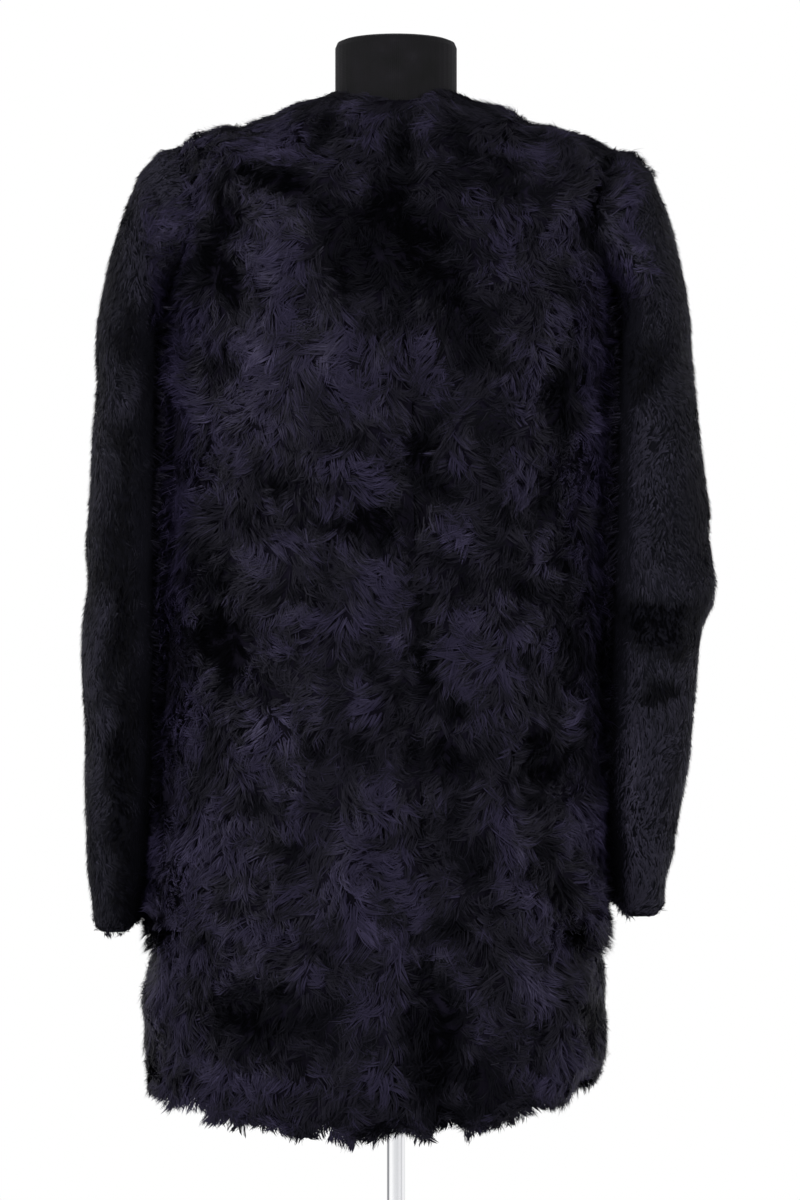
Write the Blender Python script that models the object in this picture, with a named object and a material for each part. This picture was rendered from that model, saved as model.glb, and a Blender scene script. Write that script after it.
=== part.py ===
"""A fur coat on a limbless dress form, modelled at real size (metres, +Z up).

The form stands on a round foot at z = 0, with its pole on the Z axis. The coat's
back faces -Y and its front opening +Y. Every coat piece is a wall of leather and
fur: an outer face that carries the lie of the fur, over a plain inner face.
Tables are in millimetres, and MM turns them to metres.
"""

import math
from collections import namedtuple

import bmesh
import bpy
import numpy as np

MM = 0.001
UP = np.array((0.0, 0.0, 1.0))

# Driving dimensions, in millimetres
BODY_WALL = 20.0  # leather and long fur
COLLAR_WALL = 18.0
SEAM_GAP = 0.3  # between two pieces sewn to each other
FRONT_GAP = 2.4  # between the fronts, which meet edge to edge
SLEEVE_SHIFT = 0.5  # how far a sleeve stands out from its armhole
ARMHOLE_DEPTH = 62.0  # from the side line to the armhole's back or front edge
ARMHOLE_MIDDLE_Z = 1360.0
ARMHOLE_EDGE = (1.0, 0.45, 0.12)  # how much each point in from the armhole turns to the sleeve
NECK_RADIUS = 53.5
NECK_TOP = 1523.0
SEAT_GAP = 0.4  # between the collar's inner face and the form that carries it
POLE_RADIUS = 8.0
SOCKET_RADIUS = 19.0
SOCKET_HEIGHT = 60.0
BASE_RADIUS = 160.0
BASE_HEIGHT = 8.0

# One row for each level of the coat's body. The z columns give the level's height at
# the left and right side lines and at the middle of the back and front; left and
# right are the side lines' X, back_x and front_x the middles' X, and back and front
# the depths from the side line. Square is the exponent of the level's oval.
Level = namedtuple(
    "Level", "left_z right_z back_z front_z left right back_x front_x back front square"
)
BODY_LEVELS = {
    "hem": Level(602, 618, 573, 582, -216, 178, 2, -20, 133, 130, 2.3),
    "flare": Level(660, 664, 650, 650, -223, 186, 14, -20, 135, 131, 2.35),
    "band_seam": Level(742, 742, 750, 746, -217, 181, 23, -20, 131, 127, 2.4),
    "hip": Level(880, 880, 882, 880, -206, 179, 20, -19, 131, 123, 2.4),
    "waist": Level(1040, 1040, 1040, 1040, -203, 179, 17, -18, 124, 119, 2.35),
    "ribs": Level(1170, 1170, 1160, 1162, -202, 182, 14, -16, 123, 125, 2.35),
    "underarm": Level(1290, 1290, 1266, 1270, -200, 188, 13, -14, 125, 136, 2.35),
    "chest": Level(1365, 1365, 1320, 1322, -196, 190, 12, -10, 119, 124, 2.3),
    "shoulder_point": Level(1430, 1428, 1366, 1364, -188, 189, 11, -7, 110, 107, 2.2),
    "collar_seam": Level(1454, 1453, 1405, 1398, -121, 119, 8, -2, 93, 90, 2.1),
    "collar_fold": Level(1470, 1466, 1444, 1432, -77, 82, 5, 0, 73, 75, 2.0),
    "neck": Level(1480, 1478, 1466, 1452, -55, 56, 2, 1, 55, 56, 2.0),
}
LEVEL_NAMES = list(BODY_LEVELS)
BAND_AT = LEVEL_NAMES.index("band_seam")
COLLAR_AT = LEVEL_NAMES.index("collar_seam")
NECK_AT = LEVEL_NAMES.index("neck")
SIDE_LINE = math.pi / 2  # the angle of the side line round a level's oval
BAND_SEAM_STEP = 0.0045  # SEAM_GAP in levels, above the band
COLLAR_SEAM_STEP = 0.007  # SEAM_GAP in levels, above the collar's seam

# How many rows of faces each stretch of the body has, and every how many of them
# the plain inner face has an edge
Stretch = namedtuple("Stretch", "bottom top rows inner_step")
STRETCHES = {
    "band": Stretch("hem", "band_seam", 9, 3),
    "main": Stretch("band_seam", "underarm", 27, 3),
    "armhole": Stretch("underarm", "shoulder_point", 12, 2),
    "yoke": Stretch("shoulder_point", "collar_seam", 4, 2),
    "collar": Stretch("collar_seam", "neck", 6, 2),
}

# Each quarter of the body: its side, its face, and its columns of faces
Quarter = namedtuple("Quarter", "side face columns")
QUARTERS = {
    "back_left": Quarter(-1, -1, 14),
    "back_right": Quarter(1, -1, 12),
    "front_right": Quarter(1, 1, 9),
    "front_left": Quarter(-1, 1, 10),
}

ROUND_ORDER = ("front_left", "back_left", "back_right", "front_right")
SIDE_FIRST = ("back_left", "front_right")  # these run from their side line to the middle

# One row for each ring of a sleeve: where its outer and inner lines run, seen from
# the back, how far it reaches to the back and front, and the wall there
Ring = namedtuple("Ring", "outer_x outer_z inner_x inner_z back front wall")
LEFT_SLEEVE = (
    Ring(-208, 1426, -203.5, 1283, -67, 65, 15),
    Ring(-223, 1411, -206, 1274, -71, 68, 11),
    Ring(-235, 1384, -206, 1262, -74, 71, 9),
    Ring(-248, 1345, -205, 1244, -77, 73, 8),
    Ring(-259, 1294, -204.3, 1220, -79, 74, 8),
    Ring(-265, 1241, -204.1, 1190, -80, 72, 8),
    Ring(-268, 1165, -204.2, 1140, -80, 68, 8),
    Ring(-271, 1083, -204.7, 1080, -80, 64, 8),
    Ring(-276, 1020, -205.2, 1020, -77, 66, 8),
    Ring(-276, 940, -206.8, 940, -68, 74, 8),
    Ring(-274, 850, -210.5, 850, -53, 86, 8),
    Ring(-272, 780, -219, 780, -43, 93, 8),
    Ring(-267, 740, -223, 740, -38, 95, 8),
)
RIGHT_SLEEVE = (
    Ring(208, 1425, 192.5, 1283, -67, 65, 15),
    Ring(222, 1410, 194, 1274, -71, 68, 11),
    Ring(236, 1380, 193, 1261, -74, 71, 9),
    Ring(247, 1340, 191, 1243, -77, 73, 8),
    Ring(257, 1290, 188.5, 1218, -78, 74, 8),
    Ring(264, 1215, 185.5, 1180, -78, 71, 8),
    Ring(273, 1130, 182.8, 1115, -79, 66, 8),
    Ring(281, 1046, 181, 1046, -80, 62, 8),
    Ring(272, 1000, 180.9, 1000, -76, 66, 8),
    Ring(264, 940, 180.9, 940, -69, 74, 8),
    Ring(253, 850, 182.5, 850, -55, 86, 8),
    Ring(242, 790, 187, 790, -45, 92, 8),
    Ring(236, 754, 189, 754, -40, 94, 8),
)
SLEEVE_ROWS = 32
SLEEVE_INNER_STEP = 2
CAP_BLEND = (0.55, 0.22, 0.06)  # how much each first row keeps of the armhole's shape
CUFF_LIP = 5.0  # how far the cuff's fur reaches past the leather

# Tufts and hollows of the long fur on the back: centre, spread and height
Tuft = namedtuple("Tuft", "x z spread height")
BACK_TUFTS = (
    Tuft(-60, 1300, 62, 6),
    Tuft(-150, 1400, 34, 4),
    Tuft(-160, 1310, 30, 3),
    Tuft(45, 1330, 55, -6),
    Tuft(132, 1270, 34, 5),
    Tuft(165, 1370, 30, 4),
    Tuft(90, 1400, 30, -3),
    Tuft(28, 1232, 26, 6),
    Tuft(-45, 1160, 50, 5),
    Tuft(8, 1112, 30, -6),
    Tuft(-20, 1058, 36, 6),
    Tuft(110, 1150, 42, 5),
    Tuft(-150, 1090, 34, -3),
    Tuft(-150, 975, 36, -6),
    Tuft(-85, 900, 60, 5),
    Tuft(125, 1000, 45, 4),
    Tuft(128, 890, 38, -5),
    Tuft(40, 960, 26, -4),
    Tuft(-165, 800, 40, 5),
    Tuft(-40, 790, 46, 4),
    Tuft(90, 800, 44, 5),
    Tuft(-130, 690, 50, 4),
    Tuft(70, 690, 36, 5),
    Tuft(-20, 650, 50, -4),
    Tuft(130, 630, 36, 4),
    Tuft(-170, 620, 34, 4),
)
FRONT_TUFTS = (
    Tuft(-120, 1320, 55, 5),
    Tuft(95, 1290, 50, 5),
    Tuft(-70, 1180, 45, -4),
    Tuft(60, 1120, 50, 5),
    Tuft(-130, 1040, 48, 5),
    Tuft(120, 960, 50, -4),
    Tuft(-60, 900, 56, 5),
    Tuft(90, 820, 46, 5),
    Tuft(-140, 700, 46, 4),
    Tuft(60, 660, 48, 4),
)
PARTING_DEPTH = 5.0
PARTING_SPREAD = 11.0
TIER_OVERHANG = 5.0  # how far the upper fur stands over the band below it
TIER_STEP = 4.0  # how far the band's fur lies under the seam
TIER_REACH = 0.34  # in levels
SEAM_DIP = 3.0  # the groove round the collar's seam
SEAM_DIP_REACH = 0.22  # in levels
COLLAR_CROWN = 2.5
# Small wavy locks between the tufts
WAVE_HEIGHT = 1.7
WAVE_SWAY = 14.0
WAVE_LENGTH = 31.0
LOCK_WIDTH = 9.5
LOCK_DROP = 15.0
LOCK_SLANT = 40.0
CUFF_HEIGHTS = (742, 765)  # the fur of the flanks lies flat beside the sleeves, above these
HEM_CENTRE_X = -20.0
HEM_RADIUS = 170.0
HEM_LEAN = 0.7  # how much the hem's fur points down

# Creases across a sleeve: height, place round the ring (0 inner line, 0.25 back,
# 0.5 outer line), half height, reach round the ring, depth and slope
Crease = namedtuple("Crease", "z around spread reach depth slope")
LEFT_CREASES = (
    Crease(1210, 0.40, 26, 0.16, 4, 120),
    Crease(1052, 0.38, 22, 0.16, 5, -90),
    Crease(905, 0.36, 30, 0.14, 3, 100),
)
RIGHT_CREASES = (
    Crease(1255, 0.34, 24, 0.15, 4, -110),
    Crease(1072, 0.33, 18, 0.16, 6, 70),
    Crease(1008, 0.38, 18, 0.15, 7, -60),
    Crease(962, 0.34, 17, 0.13, 5, 50),
    Crease(850, 0.38, 28, 0.14, 3, -90),
)

CREASE_THROUGH = 0.7  # how much of a crease the inner face shows

# The form's rows below the collar, bottom to top, as the body's levels
FORM_LEVELS = (
    Level(812, 812, 812, 812, -118, 112, -3, -3, 82, 80, 2.2),
    Level(824, 824, 824, 824, -136, 130, -3, -3, 93, 90, 2.2),
    Level(870, 870, 870, 870, -152, 147, -2, -2, 103, 99, 2.2),
    Level(940, 940, 940, 940, -152, 148, -2, -2, 103, 99, 2.2),
    Level(1010, 1010, 1010, 1010, -134, 131, -1, -1, 90, 90, 2.2),
    Level(1075, 1075, 1075, 1075, -112, 110, -1, -1, 77, 84, 2.2),
    Level(1140, 1140, 1140, 1140, -118, 116, 0, 0, 80, 92, 2.2),
    Level(1205, 1205, 1205, 1205, -136, 134, 0, 0, 89, 104, 2.2),
    Level(1275, 1275, 1262, 1262, -149, 147, 0, 0, 95, 110, 2.2),
    Level(1335, 1335, 1306, 1306, -156, 154, 0, 0, 93, 102, 2.2),
    Level(1380, 1380, 1340, 1340, -161, 160, 0, 0, 88, 90, 2.2),
    Level(1404, 1404, 1362, 1360, -158, 158, 0, 0, 82, 80, 2.2),
    Level(1420, 1419, 1379, 1376, -143, 143, 1, 0, 75, 73, 2.15),
)
NECK_ROWS = (1478, 1500)
NECK_ROOT_DROP = 2.5  # the neck's root lies this far under the collar's edge
NECK_ROUNDING = 6.0
NECK_DOME = 2.0


def clear_scene():
    for ob in list(bpy.data.objects):
        bpy.data.objects.remove(ob, do_unlink=True)


def material(name, colour, roughness, metallic=0.0):
    mat = bpy.data.materials.new(name)
    mat.use_nodes = True
    shader = mat.node_tree.nodes["Principled BSDF"]
    shader.inputs["Base Color"].default_value = (*colour, 1.0)
    shader.inputs["Roughness"].default_value = roughness
    shader.inputs["Metallic"].default_value = metallic
    mat.diffuse_color = (*colour, 1.0)
    return mat


def unit(vectors):
    length = np.linalg.norm(vectors, axis=-1, keepdims=True)
    return vectors / np.maximum(length, 1e-12)


def bell(distance):
    return np.exp(-np.square(distance))


def ease(low, high, value):
    t = np.clip((value - low) / (high - low), 0.0, 1.0)
    return t * t * (3.0 - 2.0 * t)


# ---------------------------------------------------------------- smooth tables


def spline(table, at):
    """Values of a table's columns at a place along its rows (Catmull-Rom)."""
    last = len(table) - 1
    k = int(min(max(math.floor(at), 0), last - 1))
    t = at - k
    a, b = table[k], table[k + 1]
    before = table[k - 1] if k > 0 else 2 * a - b
    after = table[k + 2] if k + 2 <= last else 2 * b - a
    return (
        a
        + 0.5 * t * (b - before)
        + t * t * (before - 2.5 * a + 2 * b - 0.5 * after)
        + 0.5 * t * t * t * (3 * (a - b) + after - before)
    )


BODY_TABLE = np.array(list(BODY_LEVELS.values()), float)
BACK_Z = Level._fields.index("back_z")


def oval_point(row, quarter, theta):
    """A point of one quarter of a level's oval, from theta 0 at its middle to SIDE_LINE."""
    level = Level(*row)
    power = 2.0 / level.square
    s, c = math.sin(theta), math.cos(theta)
    across = math.copysign(abs(s) ** power, s)
    deep = math.copysign(abs(c) ** power, c)
    on_back = quarter.face < 0
    middle_x = level.back_x if on_back else level.front_x
    middle_z = level.back_z if on_back else level.front_z
    depth = level.back if on_back else level.front
    side_x = level.left if quarter.side < 0 else level.right
    side_z = level.left_z if quarter.side < 0 else level.right_z
    return np.array(
        (
            middle_x + (side_x - middle_x) * across,
            quarter.face * depth * deep,
            middle_z + (side_z - middle_z) * s * s,
        )
    )


def body_point(quarter, theta, at):
    return oval_point(spline(BODY_TABLE, at), quarter, theta)


def body_normal(quarter, theta, at):
    """The outward direction of the coat's body, the same for two quarters at their seam."""
    turn, rise = 0.02, 0.02
    along = body_point(quarter, theta + turn, at) - body_point(quarter, theta - turn, at)
    up = body_point(quarter, theta, at + rise) - body_point(quarter, theta, at - rise)
    return unit(np.cross(along, up) * quarter.side * -quarter.face)


def even_angles(row, quarter, end, columns):
    """Angles from the middle to end that part the oval evenly."""
    samples = 120
    angles = [end * i / samples for i in range(samples + 1)]
    points = np.array([oval_point(row, quarter, a) for a in angles])
    run = np.concatenate(([0.0], np.cumsum(np.linalg.norm(np.diff(points, axis=0), axis=1))))
    return np.interp(np.linspace(0.0, run[-1], columns + 1), run, angles)


def armhole_end(row, quarter, share):
    """The angle at which a level meets the armhole, share of the way up it."""
    level = Level(*row)
    depth = level.back if quarter.face < 0 else level.front
    edge = ARMHOLE_DEPTH * math.sqrt(max(0.0, 1.0 - (2.0 * share - 1.0) ** 2))
    return math.acos(min(1.0, (edge / depth) ** (level.square / 2.0)))


# ---------------------------------------------------------------- lie of the fur


def fur_height(point, quarter, at):
    """How far the long fur stands proud of the coat's mean face, in millimetres."""
    x, _, z = point
    level = Level(*spline(BODY_TABLE, at))
    on_back = quarter.face < 0
    tufts = BACK_TUFTS if on_back else FRONT_TUFTS
    height = sum(t.height * bell(math.hypot(x - t.x, z - t.z) / t.spread) for t in tufts)
    waver = x + WAVE_SWAY * math.sin(z / WAVE_LENGTH + quarter.face)
    height += WAVE_HEIGHT * math.sin(waver / LOCK_WIDTH) * math.sin(z / LOCK_DROP + x / LOCK_SLANT)
    middle = level.back_x if on_back else level.front_x
    height -= PARTING_DEPTH * bell((x - middle) / PARTING_SPREAD)
    side_line = level.left if quarter.side < 0 else level.right
    flank = abs(x - middle) / abs(side_line - middle)
    height *= 1.0 - ease(0.80, 0.99, flank) * ease(*CUFF_HEIGHTS, z)
    height -= SEAM_DIP * bell((at - COLLAR_AT) / SEAM_DIP_REACH)
    height *= 1.0 - ease(COLLAR_AT + 1.2, COLLAR_AT + 1.9, at)
    return height


def tier_height(at, above, to_side):
    """The upper fur hangs over the level seam, and the band starts below it."""
    seam_step = bell((at - BAND_AT) / TIER_REACH)
    if above:
        return TIER_OVERHANG * seam_step * (1.0 - ease(0.7, 0.95, to_side))
    return -TIER_STEP * seam_step


def hem_tip(point):
    """Locks of uneven length along the hem."""
    run = math.atan2(point[1], point[0] - HEM_CENTRE_X) * HEM_RADIUS
    return 5.0 * math.sin(run / 6.5) + 4.0 * math.sin(run / 10.3 + 1.0)


# ---------------------------------------------------------------- body panels


def even_rows(name, first_gap=0.0):
    """Places along the levels for a stretch's rows, evenly apart in height at mid back.

    first_gap opens the seam at the stretch's foot.
    """
    stretch = STRETCHES[name]
    low = LEVEL_NAMES.index(stretch.bottom) + first_gap
    high = LEVEL_NAMES.index(stretch.top)
    fine = np.linspace(low, high, 200)
    heights = [spline(BODY_TABLE, at)[BACK_Z] for at in fine]
    even = np.linspace(heights[0], heights[-1], stretch.rows + 1)
    return list(np.interp(even, heights, fine))


def armhole_rows():
    """Places of the armhole's rows and their share of its height, closer at its ends."""
    stretch = STRETCHES["armhole"]
    low, high = LEVEL_NAMES.index(stretch.bottom), LEVEL_NAMES.index(stretch.top)
    even = [i / stretch.rows for i in range(stretch.rows + 1)]
    shares = [0.5 * s + 0.25 * (1 - math.cos(math.pi * s)) for s in even]
    return [low + s * (high - low) for s in shares], shares


def armhole_way(quarter, point, way, at, from_edge):
    """The wall's direction near the armhole, where it turns to meet the sleeve's."""
    if from_edge >= len(ARMHOLE_EDGE):
        return way
    above_middle = body_point(quarter, SIDE_LINE, at)[2] - ARMHOLE_MIDDLE_Z
    spoke = unit(np.array((0.0, point[1], 1.1 * above_middle)))
    edge_way = unit(0.6 * way + 0.8 * spoke)
    share = ARMHOLE_EDGE[from_edge]
    return unit((1 - share) * way + share * edge_way)


def wall_sides(quarter, rows, above_band):
    """Outer and inner points of a quarter for its rows of (place, end angle, armhole share)."""
    outer, inner = [], []
    for at, end, share in rows:
        angles = even_angles(spline(BODY_TABLE, at), quarter, end, quarter.columns)
        outer_row, inner_row = [], []
        for i, theta in enumerate(angles):
            point = body_point(quarter, theta, at)
            way = body_normal(quarter, theta, at)
            if quarter.face > 0:
                to_middle = 1.0 - i / quarter.columns
                point[0] += quarter.side * to_middle * (FRONT_GAP - SEAM_GAP) / 2
            height = fur_height(point, quarter, at)
            height += tier_height(at, above_band, i / quarter.columns)
            wall = BODY_WALL
            if share is not None:
                from_edge = quarter.columns - i
                way = armhole_way(quarter, point, way, at, from_edge)
                height *= ease(0.0, len(ARMHOLE_EDGE), from_edge)
            if at > COLLAR_AT:
                upright = ease(COLLAR_AT + 0.6, NECK_AT, at)
                way = unit((1 - upright) * way + upright * UP)
                wall += (COLLAR_WALL - BODY_WALL) * ease(COLLAR_AT, NECK_AT, at)
                height += COLLAR_CROWN * bell((at - COLLAR_AT - 0.75) / 0.5)
            tip = 0.0
            if at == 0:
                tip = hem_tip(point)
                way = unit(way - HEM_LEAN * UP)
            outer_row.append(point + way * height + UP * tip)
            inner_row.append(point - way * wall)
        outer.append(outer_row)
        inner.append(inner_row)
    return np.array(outer), np.array(inner)


def panel_rows(quarter):
    """A main panel's rows, from the band's seam to the collar's, and the inner face's rows."""
    rows = [(at, SIDE_LINE, None) for at in even_rows("main", BAND_SEAM_STEP)]
    kept = list(range(0, len(rows) - 1, STRETCHES["main"].inner_step))
    places, shares = armhole_rows()
    start = len(rows) - 1
    rows[-1] = (places[0], SIDE_LINE, 0.0)
    for at, share in zip(places[1:], shares[1:]):
        end = armhole_end(spline(BODY_TABLE, at), quarter, share)
        rows.append((at, end, share))
    kept += list(range(start, len(rows), STRETCHES["armhole"].inner_step))
    start = len(rows) - 1
    rows += [(at, SIDE_LINE, None) for at in even_rows("yoke")[1:]]
    kept += list(range(start + 2, len(rows), STRETCHES["yoke"].inner_step))
    return rows, sorted(set(kept))


def band_rows():
    rows = [(at, SIDE_LINE, None) for at in even_rows("band")]
    return rows, list(range(0, len(rows), STRETCHES["band"].inner_step))


# ---------------------------------------------------------------- meshes


def add_points(mesh, grid):
    return [[mesh.verts.new(p * MM) for p in row] for row in grid]


def edge_strip(mesh, fine, coarse, kept):
    """Faces between an outer edge and an inner edge that keeps only some of its points."""
    for (a, b), low, high in zip(zip(kept[:-1], kept[1:]), coarse[:-1], coarse[1:]):
        if b - a == 1:
            first = (fine[a].co - high.co).length
            second = (fine[b].co - low.co).length
            if first < second:
                mesh.faces.new((fine[a], fine[b], high))
                mesh.faces.new((fine[a], high, low))
            else:
                mesh.faces.new((fine[a], fine[b], low))
                mesh.faces.new((fine[b], high, low))
            continue
        middle = (a + b) // 2
        for i in range(a, b):
            mesh.faces.new((fine[i], fine[i + 1], low if i < middle else high))
        mesh.faces.new((fine[middle], high, low))


def finish_piece(mesh, name, mat, shift=(0.0, 0.0, 0.0)):
    bmesh.ops.recalc_face_normals(mesh, faces=mesh.faces)
    data = bpy.data.meshes.new(name)
    mesh.to_mesh(data)
    mesh.free()
    data.shade_smooth()
    data.materials.append(mat)
    ob = bpy.data.objects.new(name, data)
    ob.location = [c * MM for c in shift]
    bpy.context.scene.collection.objects.link(ob)
    return ob


def sewn_wall(name, outer, inner, kept_rows, mat, shift):
    """A flat-cut piece: four free edges, and the inner face on kept_rows only."""
    mesh = bmesh.new()
    out = add_points(mesh, outer)
    ins = add_points(mesh, inner[kept_rows])
    columns = len(out[0]) - 1
    for low, high in zip(out[:-1], out[1:]):
        for i in range(columns):
            mesh.faces.new((low[i], low[i + 1], high[i + 1], high[i]))
    for low, high in zip(ins[:-1], ins[1:]):
        for i in range(columns):
            mesh.faces.new((low[i], high[i], high[i + 1], low[i + 1]))
    every = list(range(columns + 1))
    edge_strip(mesh, out[0], ins[0], every)
    edge_strip(mesh, out[-1], ins[-1], every)
    for column in (0, columns):
        edge_strip(mesh, [r[column] for r in out], [r[column] for r in ins], kept_rows)
    return finish_piece(mesh, name, mat, shift)


def sewn_tube(name, outer, inner, step, kept_rows, mat, shift):
    """A piece that closes on itself: open at both ends, and coarser inside by step."""
    mesh = bmesh.new()
    out = add_points(mesh, outer)
    ins = add_points(mesh, inner[kept_rows][:, ::step])
    for loop in (out, ins):
        for low, high in zip(loop[:-1], loop[1:]):
            for i in range(len(low)):
                j = (i + 1) % len(low)
                mesh.faces.new((low[i], low[j], high[j], high[i]))
    kept = list(range(0, len(out[0]) + 1, step))
    for end in (0, -1):
        edge_strip(mesh, out[end] + out[end][:1], ins[end] + ins[end][:1], kept)
    return finish_piece(mesh, name, mat, shift)


# ---------------------------------------------------------------- coat


def quarter_shift(quarter):
    return (quarter.side * SEAM_GAP / 2, quarter.face * SEAM_GAP / 2, 0.0)


def make_body(fur, band_fur):
    for name, quarter in QUARTERS.items():
        shift = quarter_shift(quarter)
        rows, kept = panel_rows(quarter)
        outer, inner = wall_sides(quarter, rows, above_band=True)
        sewn_wall(name, outer, inner, kept, fur, shift)
        rows, kept = band_rows()
        outer, inner = wall_sides(quarter, rows, above_band=False)
        face, side = name.split("_")
        sewn_wall(f"{face}_hem_{side}", outer, inner, kept, band_fur, shift)


def collar_sides():
    """The collar runs from the left front round the back to the right front."""
    outers, inners = [], []
    rows = [(at, SIDE_LINE, None) for at in even_rows("collar", COLLAR_SEAM_STEP)]
    for name in ROUND_ORDER:
        outer, inner = wall_sides(QUARTERS[name], rows, above_band=True)
        if name in SIDE_FIRST:
            outer, inner = outer[:, ::-1], inner[:, ::-1]
        keep = slice(0, None) if name == "front_left" else slice(1, None)
        outers.append(outer[:, keep])
        inners.append(inner[:, keep])
    return np.concatenate(outers, axis=1), np.concatenate(inners, axis=1)


def make_collar(fur):
    outer, inner = collar_sides()
    kept = list(range(0, STRETCHES["collar"].rows + 1, STRETCHES["collar"].inner_step))
    return sewn_wall("collar", outer, inner, kept, fur, (0.0, 0.0, 0.0))


def armhole_loop(side):
    """The armhole's points, from the underarm up its back edge and down its front edge."""
    loops = []
    for name, quarter in QUARTERS.items():
        if quarter.side != side:
            continue
        rows, _ = panel_rows(quarter)
        rows = [r for r in rows if r[2] is not None]
        outer, inner = wall_sides(quarter, rows, above_band=True)
        loops.append((quarter.face, outer[:, -1], inner[:, -1]))
    loops.sort(key=lambda loop: loop[0])
    (_, back_out, back_in), (_, front_out, front_in) = loops
    outer = np.concatenate((back_out, front_out[-2:0:-1]))
    inner = np.concatenate((back_in, front_in[-2:0:-1]))
    return outer, inner


def ring_points(ring, count):
    """A sleeve's ring: from its inner line round the back to its outer line, and on."""
    ring = Ring(*ring)
    inner = np.array((ring.inner_x, 0.0, ring.inner_z))
    outer = np.array((ring.outer_x, 0.0, ring.outer_z))
    centre = (inner + outer) / 2
    points = []
    for k in range(count):
        angle = 2 * math.pi * k / count
        reach = -ring.back if math.sin(angle) > 0 else ring.front
        offset = np.array((0.0, -reach * math.sin(angle), 0.0))
        points.append(centre + (inner - centre) * math.cos(angle) + offset)
    return np.array(points)


def crease_depth(point, around, creases):
    depth = 0.0
    for c in creases:
        aside = (around - c.around) / c.reach
        level = (point[2] - c.z - c.slope * (around - c.around)) / c.spread
        depth += c.depth * bell(aside) * (bell(level) - 0.5 * bell(level - 1.7))
    soft = 1.2 * math.sin(point[2] / 27 + 5 * around) * math.sin(2 * math.pi * around) ** 2
    return depth + soft


def tube_normals(grid):
    around = np.roll(grid, -1, axis=1) - np.roll(grid, 1, axis=1)
    along = np.gradient(grid, axis=0)
    normals = unit(np.cross(around, along))
    centre = grid.mean(axis=1, keepdims=True)
    facing = np.sign(np.sum(normals * (grid - centre), axis=-1).mean())
    return normals * facing


def make_sleeve(name, side, table, creases, fur):
    armhole_out, armhole_in = armhole_loop(side)
    count = len(armhole_out)
    values = np.array(table, float)
    ends = (values[:, (0, 1)] + values[:, (2, 3)]) / 2
    run = np.concatenate(([0.0], np.cumsum(np.linalg.norm(np.diff(ends, axis=0), axis=1))))
    even = np.interp(np.linspace(0, run[-1], SLEEVE_ROWS), run, range(len(run)))
    rings = [spline(values, at) for at in even]
    grid = np.array([armhole_out] + [ring_points(r, count) for r in rings])
    walls = np.array([BODY_WALL] + [Ring(*r).wall for r in rings])
    top, underarm = armhole_out[count // 2], armhole_out[0]
    back, front = armhole_out[:, 1].min(), armhole_out[:, 1].max()
    plain_armhole = ring_points(
        (top[0], top[2], underarm[0], underarm[2], back, front, BODY_WALL), count
    )
    for k, share in enumerate(CAP_BLEND, start=1):
        grid[k] += share * (armhole_out - plain_armhole)
    normals = tube_normals(grid)
    inner = grid - normals * walls[:, None, None]
    inner[0] = armhole_in
    inner[1] = 0.35 * (armhole_in + grid[1] - armhole_out) + 0.65 * inner[1]
    for k in range(2, len(grid)):
        for i in range(count):
            around = i / count
            beside_body = min(around, 1 - around)
            free = ease(0.10, 0.2, beside_body) * ease(1, 4, k)
            depth = crease_depth(grid[k, i], around, creases)
            grid[k, i] -= normals[k, i] * depth * free
            inner[k, i] -= normals[k, i] * depth * free * CREASE_THROUGH
    grid[-1] -= UP * CUFF_LIP
    kept = list(range(0, len(grid) - 1, SLEEVE_INNER_STEP)) + [len(grid) - 1]
    shift = (side * SLEEVE_SHIFT, 0.0, 0.0)
    return sewn_tube(name, grid, inner, SLEEVE_INNER_STEP, kept, fur, shift)


# ---------------------------------------------------------------- dress form


def form_ring(level):
    """A ring of the form, with its points under the coat's columns."""
    ring = []
    for name in ROUND_ORDER:
        quarter = QUARTERS[name]
        angles = even_angles(level, quarter, SIDE_LINE, quarter.columns)
        if name in SIDE_FIRST:
            angles = angles[::-1]
        ring += [oval_point(level, quarter, a) for a in angles[:-1]]
    return np.array(ring)


def neck_ring(z, radius, like):
    """A round ring of the neck, whose points keep their direction from the ring below."""
    centre = like.mean(axis=0)
    way = like - centre
    way[:, 2] = 0.0
    ring = unit(way) * radius
    ring[:, 2] = z
    return ring


def make_form(jersey):
    """Torso and neck in one closed body. The coat's collar rests on its shoulders."""
    outer, inner = collar_sides()
    collar_in = inner[::STRETCHES["collar"].inner_step, :-1]
    collar_out = outer[::STRETCHES["collar"].inner_step, :-1]
    way = unit(collar_out - collar_in)
    seat = collar_in - way * SEAT_GAP
    rings = [form_ring(level) for level in np.array(FORM_LEVELS, float)]
    rings += list(seat[:-1])
    last = neck_ring(0.0, NECK_RADIUS, seat[-1])
    last[:, 2] = seat[-1][:, 2] - NECK_ROOT_DROP
    rings.append(last)
    rings += [neck_ring(z, NECK_RADIUS, seat[-1]) for z in NECK_ROWS]
    for share in (0.0, 0.5, 1.0):
        angle = share * math.pi / 2
        radius = NECK_RADIUS - NECK_ROUNDING * (1 - math.cos(angle))
        height = NECK_TOP - NECK_DOME - NECK_ROUNDING * (1 - math.sin(angle))
        rings.append(neck_ring(height, radius, seat[-1]))
    rings.append(neck_ring(NECK_TOP - 0.3 * NECK_DOME, NECK_RADIUS * 0.5, seat[-1]))
    mesh = bmesh.new()
    loops = add_points(mesh, np.array(rings))
    for low, high in zip(loops[:-1], loops[1:]):
        for i in range(len(low)):
            j = (i + 1) % len(low)
            mesh.faces.new((low[i], low[j], high[j], high[i]))
    mesh.faces.new(loops[0])
    crown = mesh.verts.new(np.array((0.0, 0.0, NECK_TOP)) * MM)
    top = loops[-1]
    for i in range(len(top)):
        mesh.faces.new((top[i], top[(i + 1) % len(top)], crown))
    return finish_piece(mesh, "form_torso", jersey)


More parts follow.
